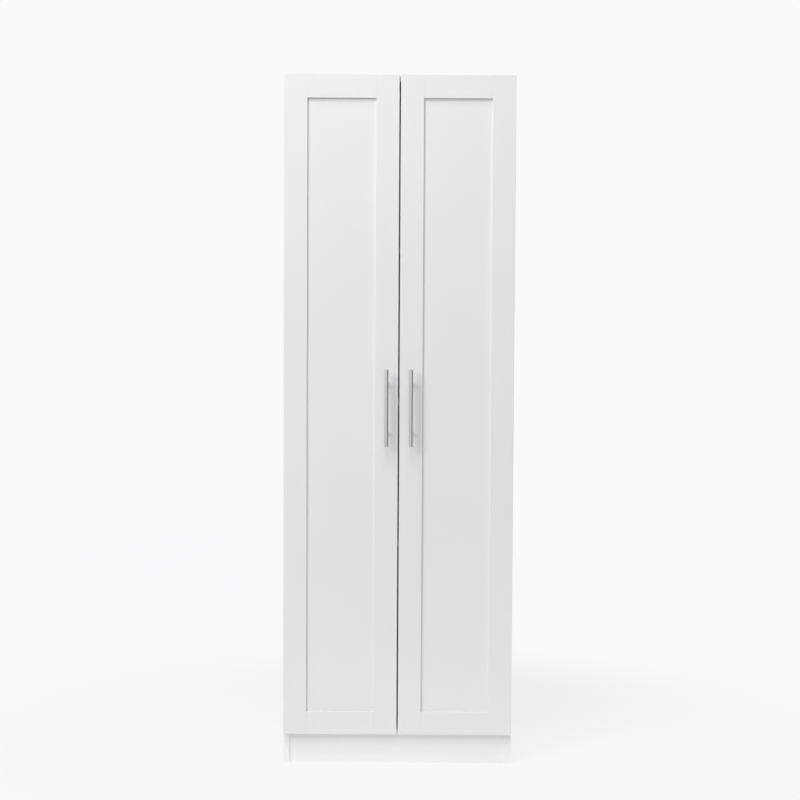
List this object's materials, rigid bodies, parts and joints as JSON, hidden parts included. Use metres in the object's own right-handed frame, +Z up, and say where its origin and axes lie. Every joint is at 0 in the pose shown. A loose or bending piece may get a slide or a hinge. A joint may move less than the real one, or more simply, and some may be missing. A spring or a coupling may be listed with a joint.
{
  "type": "pantry cabinet",
  "caption": "Tall free-standing white pantry cabinet with framed, flat-panelled doors on concealed hinges, bar handles, loose and fixed shelves and a recessed kick board.",
  "frame": {"origin": "on the floor, at the middle of the bounding box with the handles included", "axes": "+Z up, -Y out of the doors, +X to the right seen from the front"},
  "size_m": [0.6, 0.42, 1.8],
  "materials": {
    "door_paint": "satin white paint on fibreboard",
    "white_board": "satin white melamine on particle board",
    "back_hardboard": "white foil inside, raw brown hardboard outside",
    "white_plastic": "moulded white",
    "zinc_steel": "bright zinc plate",
    "nickel_steel": "nickel plate, pressed",
    "cast_zinc": "matte die casting",
    "beech": "raw fluted beech",
    "handle_nickel": "satin brushed nickel",
    "clear_rubber": "soft translucent pad"
  },
  "bodies": {
    "carcass": {"side_left": "white_board", "side_right": "white_board", "top_panel": "white_board", "bottom_panel": "white_board", "fixed_shelf": "white_board", "kick_board": "white_board", "back_upper": "back_hardboard", "back_lower": "back_hardboard", "kick_corner_blocks": "white_plastic", "cam_covers": "white_plastic", "kick_block_screws": "zinc_steel", "cam_locks": "cast_zinc", "cam_bolts": "zinc_steel", "wood_dowels": "beech", "back_nails": "zinc_steel", "shelf_pins": "zinc_steel", "hinge_plates": "nickel_steel", "hinge_plate_screws": "zinc_steel", "hinge_arms": "nickel_steel", "hinge_arm_screws": "zinc_steel", "hinge_arm_pins": "zinc_steel", "wall_bracket": "zinc_steel", "wall_bracket_screws": "zinc_steel"},
    "left_door": {"left_hinge_stile": "door_paint", "left_meeting_stile": "door_paint", "left_top_rail": "door_paint", "left_bottom_rail": "door_paint", "left_panel": "door_paint", "left_handle_bar": "handle_nickel", "left_handle_posts": "handle_nickel", "left_handle_screws": "zinc_steel", "left_bumpers": "clear_rubber", "left_hinge_cups": "nickel_steel", "left_cup_pins": "zinc_steel", "left_cup_screws": "zinc_steel"},
    "right_door": {"right_hinge_stile": "door_paint", "right_meeting_stile": "door_paint", "right_top_rail": "door_paint", "right_bottom_rail": "door_paint", "right_panel": "door_paint", "right_handle_bar": "handle_nickel", "right_handle_posts": "handle_nickel", "right_handle_screws": "zinc_steel", "right_bumpers": "clear_rubber", "right_hinge_cups": "nickel_steel", "right_cup_pins": "zinc_steel", "right_cup_screws": "zinc_steel"},
    "left_links": {"left_hinge_links": "nickel_steel"},
    "right_links": {"right_hinge_links": "nickel_steel"},
    "lower_shelf": {"shelf_lower": "white_board"},
    "upper_shelf": {"shelf_upper": "white_board"}
  },
  "joints": [
    {"name": "left_link_swing", "type": "hinge", "parent": "carcass", "child": "left_links", "pos_m": [-0.2685, -0.1605, 0.94], "axis": [0, 0, -1], "range_deg": [-16.9, 0]},
    {"name": "left_door_swing", "type": "hinge", "parent": "left_links", "child": "left_door", "pos_m": [-0.291, -0.1625, 0.94], "axis": [0, 0, -1], "range_deg": [0, 121.8]},
    {"name": "right_link_swing", "type": "hinge", "parent": "carcass", "child": "right_links", "pos_m": [0.2685, -0.1605, 0.94], "axis": [0, 0, 1], "range_deg": [-16.9, 0]},
    {"name": "right_door_swing", "type": "hinge", "parent": "right_links", "child": "right_door", "pos_m": [0.291, -0.1625, 0.94], "axis": [0, 0, 1], "range_deg": [0, 121.8]},
    {"name": "lower_shelf_lift", "type": "slide", "parent": "carcass", "child": "lower_shelf", "axis": [0, 0, 1], "range_m": [0, 0.02]},
    {"name": "upper_shelf_lift", "type": "slide", "parent": "carcass", "child": "upper_shelf", "axis": [0, 0, 1], "range_m": [0, 0.02]}
  ],
  "couplings": [
    {"joint": "left_link_swing", "follows": "left_door_swing", "ratio": -0.13793},
    {"joint": "right_link_swing", "follows": "right_door_swing", "ratio": -0.13793}
  ]
}
